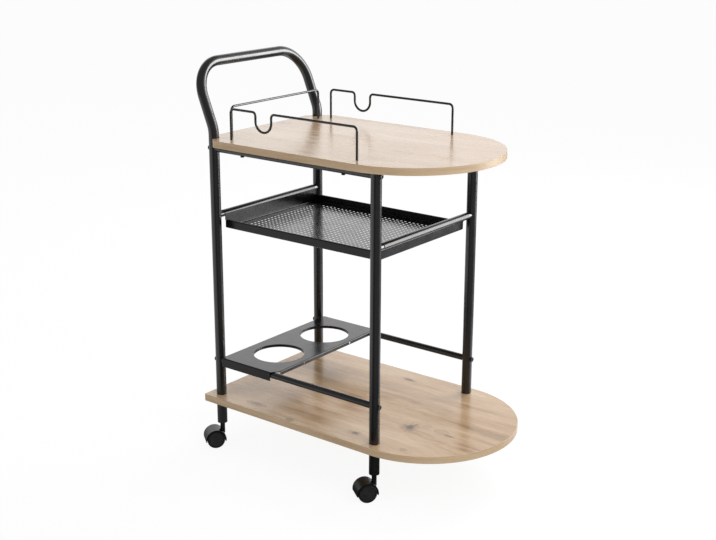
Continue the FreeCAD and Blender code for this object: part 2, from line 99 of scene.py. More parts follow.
class Graph:
    """The nodes of a material or a world, with short ways to lay them out."""

    def __init__(self, owner: bpy.types.Material | bpy.types.World) -> None:
        """Starts with the owner's bare shader and its coordinates.

        Args:
            owner: the new material or world.
        """
        owner.use_nodes = True
        self.owner = owner
        self.tree = owner.node_tree
        self.shader = next(node for node in self.tree.nodes if node.outputs)
        self.place = self.tree.nodes.new("ShaderNodeTexCoord").outputs["Object"]

    @classmethod
    def of_material(cls, name: str) -> "Graph":
        """Starts a new material."""
        return cls(bpy.data.materials.new(name))

    def feed(self, target: Socket, value: object) -> None:
        """Links a socket, or sets its value.

        Args:
            target: the input to feed.
            value: another node's output, a number or a tuple.
        """
        if isinstance(value, bpy.types.NodeSocket):
            self.tree.links.new(value, target)
        else:
            target.default_value = value

    def node(self, kind: str, values: Sequence[object] = (), **settings: object) -> bpy.types.Node:
        """Adds a node.

        Args:
            kind: the node's type, without its common prefix.
            values: what its first inputs are fed with, in order.
            settings: the node's own settings.

        Returns:
            The new node.
        """
        made = self.tree.nodes.new("ShaderNode" + kind)
        for key, value in settings.items():
            setattr(made, key, value)
        for target, value in zip(made.inputs, values):
            self.feed(target, value)
        return made

    def maths(self, operation: str, *values: object) -> Socket:
        """One sum of some numbers, by the operation's name."""
        return self.node("Math", values, operation=operation).outputs[0]

    def arrow(self, operation: str, vector: Socket, output: str = "Vector") -> Socket:
        """One sum on a vector, by the operation's name."""
        return self.node("VectorMath", (vector,), operation=operation).outputs[output]

    def weighed(self, shares: Sequence[tuple[Socket, float]]) -> Socket:
        """Adds some values up, each by its weight.

        Args:
            shares: the values with their weights.

        Returns:
            The sum.
        """
        total = None
        for value, weight in shares:
            total = self.maths("MULTIPLY_ADD", value, weight, 0.0 if total is None else total)
        return total

    def stretched(self, vector: Socket, scale: Triple) -> Socket:
        """Stretches coordinates along each axis.

        Args:
            vector: the coordinates.
            scale: the stretch along X, Y and Z.

        Returns:
            The stretched coordinates.
        """
        made = self.node("Mapping")
        self.feed(made.inputs["Vector"], vector)
        made.inputs["Scale"].default_value = scale
        return made.outputs[0]

    def noise(self, vector: Socket, scale: float, detail: float = 2.0, rough: float = 0.5,
              bent: float = 0.0) -> Socket:
        """Cloudy noise from 0 to 1.

        Args:
            vector: the coordinates that it reads.
            scale: how many clouds to the metre.
            detail: how many finer layers it has.
            rough: how strong the finer layers are.
            bent: how far it is distorted by itself.

        Returns:
            The noise's value.
        """
        made = self.node("TexNoise")
        self.feed(made.inputs["Vector"], vector)
        for key, value in (("Scale", scale), ("Detail", detail), ("Roughness", rough), ("Distortion", bent)):
            made.inputs[key].default_value = value
        return made.outputs[0]

    def between(self, value: Socket, low: float, high: float, start: float = 0.0, end: float = 1.0) -> Socket:
        """Carries a range of values over to another one, smoothly and without overshoot.

        Args:
            value: the value to carry over.
            low: the value that becomes start.
            high: the value that becomes end.
            start: the lower result.
            end: the upper result.

        Returns:
            The new value.
        """
        made = self.node("MapRange", (value, low, high, start, end), interpolation_type="SMOOTHSTEP")
        return made.outputs[0]

    def ramp(self, value: Socket, stops: Sequence[tuple[float, Colour]]) -> Socket:
        """Colours a value by a row of stops.

        Args:
            value: the value to colour.
            stops: each stop's value and colour.

        Returns:
            The colour.
        """
        made = self.node("ValToRGB", (value,))
        while len(made.color_ramp.elements) < len(stops):
            made.color_ramp.elements.new(1.0)
        for element, (position, colour) in zip(made.color_ramp.elements, stops):
            element.position = position
            element.color = (*colour, 1.0)
        return made.outputs[0]

    def mix(self, share: object, first: object, second: object) -> Socket:
        """Blends two colours.

        Args:
            share: how much of the second there is.
            first: the first colour.
            second: the second colour.

        Returns:
            The blend.
        """
        made = self.node("Mix", data_type="RGBA")
        for index, value in ((MIX_SHARE, share), (MIX_FIRST, first), (MIX_SECOND, second)):
            self.feed(made.inputs[index], (*value, 1.0) if isinstance(value, tuple) else value)
        return made.outputs[MIX_RESULT]

    def relief(self, height: Socket, depth: float) -> None:
        """Gives the surface a fine relief.

        Args:
            height: the relief's height, from 0 to 1.
            depth: how deep it is, in metres.
        """
        made = self.node("Bump")
        made.inputs["Distance"].default_value = depth
        self.feed(made.inputs["Height"], height)
        self.feed(self.shader.inputs["Normal"], made.outputs[0])


@dataclass(frozen=True)
class PowderCoat:
    """Black powder coat on steel, with the faint orange peel of a baked coat."""

    name: str
    dark: Colour
    light: Colour
    gloss: tuple[float, float]
    shine: float
    peel: float
    peel_depth: float
    cloud: float = 38.0

    def material(self) -> bpy.types.Material:
        """Lays out the coat.

        Returns:
            The finished material.
        """
        graph = Graph.of_material(self.name)
        cloud = graph.noise(graph.place, self.cloud, 3.0)
        peel = graph.noise(graph.place, self.peel, 2.0, 0.4)
        colour = graph.ramp(cloud, ((0.35, self.dark), (0.7, self.light)))
        graph.feed(graph.shader.inputs["Base Color"], colour)
        graph.feed(graph.shader.inputs["Roughness"], graph.between(cloud, 0.3, 0.7, *self.gloss))
        graph.shader.inputs["Specular IOR Level"].default_value = self.shine
        graph.relief(peel, self.peel_depth)
        return graph.owner


@dataclass(frozen=True)
class Knot:
    """A knot in the oak: its middle and half sizes in plan, and how dark its eye, loops and rays are."""

    x: float
    y: float
    half_length: float
    half_width: float
    depth: float
    loops: float = 0.3
    rays: float = 0.0

    def eye(self, graph: Graph, spot: Socket, reach: Socket, ragged: Socket) -> Socket:
        """Draws the knot's dark heart, its rays and the loops round it.

        Args:
            graph: the material that is laid out.
            spot: the place, counted in the knot's half sizes.
            reach: how far that is from the knot's middle.
            ragged: noise that breaks the outlines.

        Returns:
            The share of the knot's colour.
        """
        core = graph.between(graph.weighed(((reach, 1.0), (ragged, 1.2))), 1.8, 1.0, 0.0, self.depth)
        burst = graph.noise(graph.arrow("NORMALIZE", spot), 4.0 + 40.0 * self.half_length, 1.0)
        ray = graph.maths("MULTIPLY", graph.between(burst, 0.47, 0.58, 0.0, self.rays),
                          graph.between(reach, 2.3, 0.9))
        turns = graph.maths("SINE", graph.weighed(((reach, 5.0), (ragged, 5.0))))
        loop = graph.maths("MULTIPLY", graph.between(turns, 0.4, 0.95, 0.0, self.loops),
                           graph.between(reach, 2.6, 1.2))
        return graph.maths("MAXIMUM", core, graph.maths("MAXIMUM", ray, loop))


@dataclass(frozen=True)
class Figure:
    """What the oak's pattern is built from, as it lies round the knots."""

    flow: Socket
    eyes: Socket | None = None
    rings: Socket | None = None


@dataclass(frozen=True)
class Oak:
    """Light oak laminate or edge band, with growth rings, streaks, pores and knots along its grain."""

    name: str
    grain: Grain
    dark: Colour
    middle: Colour
    pale: Colour
    knot_tone: Colour
    gloss: tuple[float, float]
    knots: tuple[Knot, ...] = ()
    patch_scale: float = 4.0
    band_scale: float = 2.4
    streak_scale: float = 5.5
    fibre_scale: float = 26.0
    fibre_depth: float = 0.000003
    pore_scale: float = 70.0
    pore_share: float = 0.3
    ring_lines: float = 30.0
    knot_shade: float = 0.06
    knot_push: float = 0.6
    knot_fade: float = 0.4
    knot_grit: float = 150.0

    def material(self) -> bpy.types.Material:
        """Lays out the oak.

        Returns:
            The finished material.
        """
        graph = Graph.of_material(self.name)
        figure = self._round_knots(graph)
        along, across, up = self.grain.value
        broad = graph.stretched(figure.flow, (along, across * 0.15, up * 0.15))
        coarse = graph.stretched(figure.flow, (along, across * 0.4, up * 0.4))
        fine = graph.stretched(figure.flow, (along, across, up))
        patch = graph.noise(broad, self.patch_scale, 2.0)
        bands = graph.noise(coarse, self.band_scale, 4.0, 0.55, 0.5)
        streak = graph.noise(fine, self.streak_scale, 6.0, 0.66, 0.2)
        fibre = graph.noise(fine, self.fibre_scale, 3.0, 0.65)
        pore = graph.noise(fine, self.pore_scale, 1.0)
        lines = graph.maths("SINE", graph.maths("MULTIPLY", bands, self.ring_lines))
        tone = graph.weighed(((patch, 0.3), (bands, 0.3), (streak, 0.42), (fibre, 0.2), (lines, 0.025)))
        if figure.rings is not None:
            tone = graph.weighed(((tone, 1.0), (figure.rings, -self.knot_shade)))
        colour = graph.ramp(tone, ((0.46, self.dark), (0.6, self.middle), (0.76, self.pale)))
        colour = graph.mix(graph.between(pore, 0.58, 0.72, 0.0, self.pore_share), colour, self.dark)
        if figure.eyes is not None:
            colour = graph.mix(figure.eyes, colour, self.knot_tone)
        graph.feed(graph.shader.inputs["Base Color"], colour)
        graph.feed(graph.shader.inputs["Roughness"], graph.between(streak, 0.35, 0.65, *self.gloss))
        graph.relief(fibre, self.fibre_depth)
        return graph.owner

    def _round_knots(self, graph: Graph) -> Figure:
        """Bends the grain round each knot, and draws the knots' eyes and rings.

        Args:
            graph: the material that is laid out.

        Returns:
            The bent coordinates, the share of knot, and the rings round the knots.
        """
        if not self.knots:
            return Figure(graph.place)
        x, y, z = graph.node("SeparateXYZ", (graph.place,)).outputs
        ragged = graph.noise(graph.stretched(graph.place, (1.0, 2.0, 1.0)), self.knot_grit, 4.0, 0.7)
        bent, eyes, rings = y, None, None
        for knot in self.knots:
            along = graph.maths("DIVIDE", graph.maths("SUBTRACT", x, knot.x), knot.half_length)
            across = graph.maths("DIVIDE", graph.maths("SUBTRACT", y, knot.y), knot.half_width)
            spot = graph.node("CombineXYZ", (along, across)).outputs[0]
            reach = graph.arrow("LENGTH", spot, "Value")
            fade = graph.maths("POWER", math.exp(-self.knot_fade), graph.maths("MULTIPLY", reach, reach))
            push = graph.maths("MULTIPLY", across, fade)
            bent = graph.weighed(((bent, 1.0), (push, -self.knot_push * knot.half_width)))
            eye = knot.eye(graph, spot, reach, ragged)
            ring = graph.maths("MULTIPLY", fade, knot.depth)
            rings = ring if rings is None else graph.maths("ADD", rings, ring)
            eyes = eye if eyes is None else graph.maths("MAXIMUM", eyes, eye)
        return Figure(graph.node("CombineXYZ", (x, bent, z)).outputs[0], eyes, rings)


@dataclass(frozen=True)
class Plastic:
    """Moulded plastic with a fine eroded texture."""

    name: str
    dark: Colour
    light: Colour
    gloss: tuple[float, float]
    texture: float
    texture_depth: float
    cloud: float = 120.0
    shine: float = 0.35

    def material(self) -> bpy.types.Material:
        """Lays out the plastic.

        Returns:
            The finished material.
        """
        graph = Graph.of_material(self.name)
        cloud = graph.noise(graph.place, self.cloud, 3.0)
        texture = graph.noise(graph.place, self.texture, 2.0, 0.6)
        colour = graph.ramp(cloud, ((0.3, self.dark), (0.7, self.light)))
        graph.feed(graph.shader.inputs["Base Color"], colour)
        graph.feed(graph.shader.inputs["Roughness"], graph.between(texture, 0.3, 0.7, *self.gloss))
        graph.shader.inputs["Specular IOR Level"].default_value = self.shine
        graph.relief(texture, self.texture_depth)
        return graph.owner


@dataclass(frozen=True)
class Plating:
    """Bright zinc plating on turned steel."""

    name: str
    dark: Colour
    light: Colour
    gloss: tuple[float, float]
    turning: float = 180.0
    turning_stretch: Triple = (1.0, 1.0, 14.0)

    def material(self) -> bpy.types.Material:
        """Lays out the plating.

        Returns:
            The finished material.
        """
        graph = Graph.of_material(self.name)
        turned = graph.noise(graph.stretched(graph.place, self.turning_stretch), self.turning, 2.0)
        colour = graph.ramp(turned, ((0.3, self.dark), (0.7, self.light)))
        graph.shader.inputs["Metallic"].default_value = 1.0
        graph.feed(graph.shader.inputs["Base Color"], colour)
        graph.feed(graph.shader.inputs["Roughness"], graph.between(turned, 0.3, 0.7, *self.gloss))
        return graph.owner


TOP_KNOTS = (
    Knot(-0.160, -0.104, 0.020, 0.004, 0.3, 0.0),
    Knot(-0.082, -0.086, 0.009, 0.005, 0.5, 0.1),
    Knot(-0.281, 0.047, 0.014, 0.006, 0.3, 0.1),
)
LOWER_KNOTS = (
    Knot(0.155, -0.061, 0.011, 0.013, 1.0, 0.0, 0.9),
    Knot(0.182, -0.038, 0.007, 0.010, 0.15, 0.28),
    Knot(0.222, -0.043, 0.014, 0.009, 0.22, 0.35),
    Knot(0.244, -0.050, 0.016, 0.005, 0.7, 0.0),
    Knot(-0.180, -0.167, 0.024, 0.008, 0.7, 0.4),
    Knot(-0.068, -0.190, 0.009, 0.008, 0.6, 0.5),
    Knot(0.083, -0.156, 0.011, 0.007, 0.95, 0.1, 0.4),
    Knot(0.000, 0.153, 0.018, 0.006, 0.9, 0.1),
    Knot(0.208, -0.160, 0.007, 0.005, 0.3, 0.4),
)
FINISHES = {finish.name: finish for finish in (
    Oak("oak_top", Grain.ALONG_BOARD, (0.31, 0.19, 0.1), (0.47, 0.325, 0.205), (0.575, 0.435, 0.305),
        (0.12, 0.08, 0.05), (0.2, 0.28), TOP_KNOTS),
    Oak("oak_lower", Grain.ALONG_BOARD, (0.31, 0.182, 0.092), (0.53, 0.352, 0.206), (0.665, 0.498, 0.332),
        (0.11, 0.066, 0.038), (0.2, 0.28), LOWER_KNOTS),
    Oak("oak_edge", Grain.ALONG_EDGE, (0.42, 0.282, 0.155), (0.575, 0.408, 0.248), (0.67, 0.503, 0.334),
        (0.1, 0.07, 0.05), (0.36, 0.5)),
    PowderCoat("black_tube", (0.002, 0.002, 0.0022), (0.004, 0.004, 0.0042), (0.2, 0.28), 0.8,
               900.0, 0.0000004),
    PowderCoat("black_sheet", (0.004, 0.004, 0.0046), (0.008, 0.008, 0.009), (0.18, 0.25), 0.35,
               1400.0, 0.000001),
    PowderCoat("black_bolt", (0.007, 0.007, 0.007), (0.018, 0.018, 0.018), (0.3, 0.42), 0.5,
               1800.0, 0.000005),
    Plastic("black_insert", (0.01, 0.01, 0.01), (0.02, 0.02, 0.02), (0.4, 0.5), 1500.0, 0.00001),
    Plastic("caster_hood", (0.004, 0.004, 0.004), (0.009, 0.009, 0.009), (0.28, 0.36), 1600.0, 0.00001),
    Plastic("caster_wheel", (0.006, 0.006, 0.006), (0.012, 0.012, 0.012), (0.5, 0.62), 1300.0, 0.00002),
    Plastic("caster_disc", (0.016, 0.016, 0.016), (0.026, 0.026, 0.026), (0.4, 0.52), 1300.0, 0.00002),
    Plating("zinc_steel", (0.5, 0.5, 0.5), (0.72, 0.72, 0.71), (0.22, 0.34)),
)}


@dataclass(frozen=True)
class Lamp:
    """A flat lamp: the way to it from the cart, how far, its size, its power in watts and its kind."""

    name: str
    way: Triple
    far: float
    size: tuple[float, float]
    power: float
    kind: LampKind

    def hang(self, aim: Vector) -> None:
        """Hangs the lamp.

        Args:
            aim: the point that it faces.
        """
        way = Vector(self.way)
        lamp = bpy.data.lights.new(self.name, "AREA")
        lamp.shape = "RECTANGLE"
        lamp.size, lamp.size_y = self.size
        lamp.energy = self.power
        holder = bpy.data.objects.new(self.name, lamp)
        holder.location = aim + way.normalized() * self.far
        holder.rotation_euler = (-way).to_track_quat("-Z", "Y").to_euler()
        holder.visible_diffuse = self.kind is LampKind.SOFTBOX
        holder.visible_glossy = self.kind is LampKind.PANEL
        holder.visible_camera = False
        bpy.context.scene.collection.objects.link(holder)


LAMPS = (
    Lamp("softbox_behind", (0.12, 0.76, 0.64), 2.6, (1.6, 1.2), 38.0, LampKind.SOFTBOX),
    Lamp("softbox_front", (0.86, -0.1, 0.5), 2.8, (1.4, 1.4), 24.0, LampKind.SOFTBOX),
    Lamp("panel_right", (0.6, 0.75, 0.23), 2.6, (1.3, 1.9), 74.0, LampKind.PANEL),
)


@dataclass
class Studio:
    """Pale floor, white surroundings, soft lamps and the camera at the photograph's angle."""

    floor_radius: float = 40.0
    floor_tone: Colour = (0.86, 0.86, 0.86)
    glow: float = 0.88
    seen_floor: float = 1.04
    # painted light: how bright the floor glows in the gloss, by the angle round the cart in degrees
    painted_gloss_levels: tuple[tuple[float, float], ...] = (
        (-180.0, 0.85), (-102.0, 0.85), (-92.0, 0.14), (-69.0, 0.14), (-63.0, 0.3), (20.0, 0.3), (38.0, 0.8),
        (64.0, 0.8), (74.0, 0.16), (116.0, 0.16), (157.0, 0.85), (180.0, 0.85))
    # painted shadow: the floor's glow in the gloss drops to this level close to the cart
    painted_shadow_level: float = 0.3
    # painted pool of light: the floor's glow in the gloss close behind the cart
    behind: float = 1.4
    surround: float = 0.55
    bright_side: float = 1.6
    dark_side: float = 0.3
    lamps: tuple[Lamp, ...] = LAMPS
    aim: Triple = (-0.02, 0.0, 0.45)
    camera_place: Triple = (1.5487, -2.055, 1.2104)
    camera_turn: float = 38.14
    camera_dip: float = 17.0
    lens: float = 63.4
    shift_x: float = 0.0174

    def build(self) -> None:
        """Sets up everything round the cart."""
        self._floor()
        self._surroundings()
        for lamp in self.lamps:
            lamp.hang(Vector(self.aim))
        self._camera()
        bpy.context.scene.view_settings.view_transform = "Standard"

    def _floor(self) -> None:
        """A wide pale floor that glows to the camera and the gloss, and keeps the cart's shadow; its glow in
        the gloss is painted light.
        """
        bpy.ops.mesh.primitive_circle_add(vertices=96, radius=self.floor_radius, fill_type="NGON")
        floor = bpy.context.object
        floor.name = "floor"
        graph = Graph.of_material("pale_floor")
        graph.shader.inputs["Base Color"].default_value = (*self.floor_tone, 1.0)
        graph.shader.inputs["Roughness"].default_value = 0.9
        graph.shader.inputs["Specular IOR Level"].default_value = 0.0
        path = graph.node("LightPath").outputs
        share = graph.maths("MULTIPLY_ADD", path["Is Camera Ray"], self.glow, path["Is Glossy Ray"])
        # the glow that the gloss sees is painted light, with a painted shadow close to the cart
        change = graph.maths("SUBTRACT", self._painted_gloss_light(graph), self.seen_floor)
        strength = graph.maths("MULTIPLY_ADD", path["Is Glossy Ray"], change, self.seen_floor)
        glow = graph.node("Emission", ((1.0, 1.0, 1.0, 1.0), strength)).outputs[0]
        blend = graph.node("MixShader", (share, graph.shader.outputs[0], glow)).outputs[0]
        graph.feed(graph.tree.nodes["Material Output"].inputs["Surface"], blend)
        floor.data.materials.append(graph.owner)

    def _painted_gloss_light(self, graph: Graph) -> Socket:
        """The floor's glow in the gloss, which is painted light: bright and dark sectors by the angle round
        the cart, and the way from it.

        Args:
            graph: the floor's nodes.

        Returns:
            The level at each place: a painted shadow close to the cart, and a painted pool of light close
                behind it.
        """
        x, y, _ = graph.node("SeparateXYZ", (graph.place,)).outputs
        # painted light: bright and dark sectors of the floor's glow round the cart
        turn = graph.maths("ARCTAN2", y, x)
        share = graph.maths("MULTIPLY_ADD", turn, 0.5 / math.pi, 0.5)
        stops = [((degrees + 180.0) / 360.0, (level,) * 3) for degrees, level in self.painted_gloss_levels]
        far = graph.arrow("LENGTH", graph.place, "Value")
        # painted shadow of the cart on the floor, as the gloss sees it
        painted_shadow = graph.between(far, 0.35, 1.0, self.painted_shadow_level, 1.0)
        shaded = graph.maths("MULTIPLY", graph.ramp(share, stops), painted_shadow)
        # painted pool of light close behind the cart, as the gloss sees it
        past = graph.between(y, 0.1, 0.35, 0.0, self.behind)
        behind = graph.maths("MULTIPLY", graph.between(far, 1.1, 0.8), past)
        return graph.maths("MAXIMUM", shaded, behind)

    def _surroundings(self) -> None:
        """A tent that looks white, shows bright and dark sides in the gloss, and lights the cart evenly."""
        graph = Graph(bpy.data.worlds.new("white_tent"))
        bpy.context.scene.world = graph.owner
        way = graph.node("TexCoord").outputs["Generated"]
        _, y, z = graph.node("SeparateXYZ", (way,)).outputs
        low_behind = graph.maths("MULTIPLY", graph.between(z, 0.75, 0.45), graph.between(y, 0.0, 0.4))
        gloss = graph.maths("MULTIPLY", low_behind, self.bright_side - self.dark_side)
        path = graph.node("LightPath").outputs
        shown = graph.maths("MULTIPLY", path["Is Glossy Ray"],
                            graph.maths("ADD", gloss, self.dark_side - self.surround))
        level = graph.maths("MULTIPLY_ADD", path["Is Camera Ray"], 1.0 - self.surround, shown)
        graph.shader.inputs["Color"].default_value = (1.0, 1.0, 1.0, 1.0)
        graph.feed(graph.shader.inputs["Strength"], graph.maths("ADD", level, self.surround))

    def _camera(self) -> None:
        """Stands the camera at the photograph's viewing angle."""
        lens = bpy.data.cameras.new("camera")
        lens.lens = self.lens
        lens.shift_x = self.shift_x
        camera = bpy.data.objects.new("camera", lens)
        camera.location = self.camera_place
        camera.rotation_euler = (math.radians(90.0 - self.camera_dip), 0.0, math.radians(self.camera_turn))
        bpy.context.scene.collection.objects.link(camera)
        bpy.context.scene.camera = camera


@dataclass
class Wardrobe:
    """Puts its finish on each piece of the cart."""

    materials: dict[str, bpy.types.Material]

    @classmethod
    def of(cls, finishes: dict[str, object]) -> "Wardrobe":
        """Makes every finish once."""
        return cls({slot: finish.material() for slot, finish in finishes.items()})

    def dress(self, piece: bpy.types.Object, slot: str) -> None:
        """Gives a piece the finish of a material slot."""
        for place in piece.material_slots:
            place.material = self.materials[slot]

    def hand_over(self, piece: bpy.types.Object, body: str, slot: str, *nodes: str) -> None:
        """Dresses a new piece, and puts it on its body in the place of CAD nodes.

        Args:
            piece: the new piece.
            body: the body that it moves with.
            slot: the material slot that it takes its finish from.
            nodes: the nodes that it stands for.
        """
        if not piece.data.materials:
            piece.data.materials.append(self.materials[slot])
        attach(piece, body)
        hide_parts(*nodes)
        LOG.info("%s stands for %s, on %s", piece.name, ", ".join(nodes), body)


def select_only(piece: bpy.types.Object) -> None:
    """Makes one piece the only selected and the active one.

    Args:
        piece: the piece to work on.
    """
    bpy.ops.object.select_all(action="DESELECT")
    piece.select_set(True)
    bpy.context.view_layer.objects.active = piece


@contextmanager
def editing(piece: bpy.types.Object) -> Iterator[None]:
    """Opens a piece in edit mode, and closes it again.

    Args:
        piece: the piece to edit.

    Returns:
        What a with statement takes.
    """
    select_only(piece)
    bpy.ops.object.mode_set(mode="EDIT")
    yield
    bpy.ops.object.mode_set(mode="OBJECT")


def choose(piece: bpy.types.Object, part: Part, test: Callable[[object], bool]) -> None:
    """Selects what passes a test, in edit mode.

    Args:
        piece: the piece that is edited.
        part: what is chosen: vertices, edges or faces.
        test: says whether one of them is taken.
    """
    bpy.ops.mesh.select_mode(type=part.name)
    bpy.ops.mesh.select_all(action="DESELECT")
    mesh = bmesh.from_edit_mesh(piece.data)
    for item in getattr(mesh, part.value):
        if test(item):
            item.select_set(True)
    mesh.select_flush_mode()
    bmesh.update_edit_mesh(piece.data)


def lies_at(item: object, axis: int, *values: float) -> bool:
    """Whether all of an edge's or face's vertices lie at one of the values on an axis."""
    return any(all(abs(v.co[axis] - value) < TINY for v in item.verts) for value in values)


def pull(way: Triple) -> None:
    """Extrudes the selected edges along a way."""
    bpy.ops.mesh.extrude_edges_move(TRANSFORM_OT_translate={"value": way})


def modify(piece: bpy.types.Object, kind: str, **settings: object) -> None:
    """Adds a modifier to a piece and applies it.

    Args:
        piece: the piece to change.
        kind: the modifier's type.
        settings: the modifier's own settings.
    """
    select_only(piece)
    made = piece.modifiers.new(kind.lower(), kind)
    for key, value in settings.items():
        setattr(made, key, value)
    bpy.ops.object.modifier_apply(modifier=made.name)


def flat_sheet(name: str, low: tuple[float, float], high: tuple[float, float],
               height: float) -> bpy.types.Object:
    """Adds a level rectangle.

    Args:
        name: the new piece's name.
        low: its lowest corner in plan.
        high: its highest corner in plan.
        height: how high it lies.

    Returns:
        The new piece, with its place in its mesh.
    """
    bpy.ops.object.select_all(action="DESELECT")
    bpy.ops.mesh.primitive_plane_add(size=1.0)
    sheet = bpy.context.object
    sheet.name = name
    with editing(sheet):
        bpy.ops.mesh.select_all(action="SELECT")
        size = (high[0] - low[0], high[1] - low[1], 1.0)
        middle = ((low[0] + high[0]) / 2, (low[1] + high[1]) / 2, height)
        bpy.ops.transform.resize(value=size, center_override=(0.0, 0.0, 0.0))
        bpy.ops.transform.translate(value=middle)
    return sheet


def round_bar(name: str, radius: float, start: Vector, end: Vector, sides: int = 96,
              ends: str = "NGON") -> bpy.types.Object:
    """Adds a cylinder between two points, with its place in its mesh.

    Args:
        name: the new piece's name.
        radius: its radius.
        start: the middle of one end.
        end: the middle of the other.
        sides: how many sides it has.
        ends: how its ends are filled.

    Returns:
        The new piece.
    """
    bpy.ops.object.select_all(action="DESELECT")
    turn = (end - start).to_track_quat("Z", "Y").to_euler()
    bpy.ops.mesh.primitive_cylinder_add(vertices=sides, radius=radius, depth=(end - start).length,
                                        end_fill_type=ends, location=(start + end) / 2, rotation=turn)
    bar = bpy.context.object
    bar.name = name
    bpy.ops.object.transform_apply(location=True, rotation=True, scale=True)
    return bar


def carve(piece: bpy.types.Object, tool: bpy.types.Object, operation: str = "DIFFERENCE") -> None:
    """Cuts a piece with a tool, or joins the tool to it, and takes the tool away."""
    modify(piece, "BOOLEAN", object=tool, operation=operation, solver="EXACT")
    bpy.data.objects.remove(tool)


def soften(piece: bpy.types.Object, width: float, segments: int = 2, angle: float = 35.0) -> None:
    """Rounds a piece's sharp edges a little and shades it smoothly.

    Args:
        piece: the piece to soften.
        width: how wide the rounding is.
        segments: how many faces the rounding has.
        angle: the least angle of a sharp edge, in degrees.
    """
    modify(piece, "BEVEL", width=width, segments=segments, limit_method="ANGLE",
           angle_limit=math.radians(angle), use_clamp_overlap=True, harden_normals=False)
    select_only(piece)
    bpy.ops.object.shade_smooth_by_angle(angle=math.radians(angle))
    modify(piece, "WEIGHTED_NORMAL", mode="FACE_AREA", weight=100, keep_sharp=True)


def face_outwards(piece: bpy.types.Object) -> None:
    """Merges doubled vertices and turns all faces outwards.

    Args:
        piece: the piece to mend.
    """
    with editing(piece):
        bpy.ops.mesh.select_all(action="SELECT")
        bpy.ops.mesh.remove_doubles(threshold=TINY)
        bpy.ops.mesh.normals_make_consistent(inside=False)


def stood(model: bpy.types.Object, name: str, place: Matrix) -> bpy.types.Object:
    """Copies a model with its own mesh, and stands the copy in a place.

    Args:
        model: the piece to copy.
        name: the copy's name.
        place: where it stands.

    Returns:
        The copy, with its place in its mesh.
    """
    copy = model.copy()
    copy.data = model.data.copy()
    copy.name = name
    bpy.context.scene.collection.objects.link(copy)
    copy.matrix_world = place
    select_only(copy)
    bpy.ops.object.transform_apply(location=True, rotation=True, scale=True)
    return copy


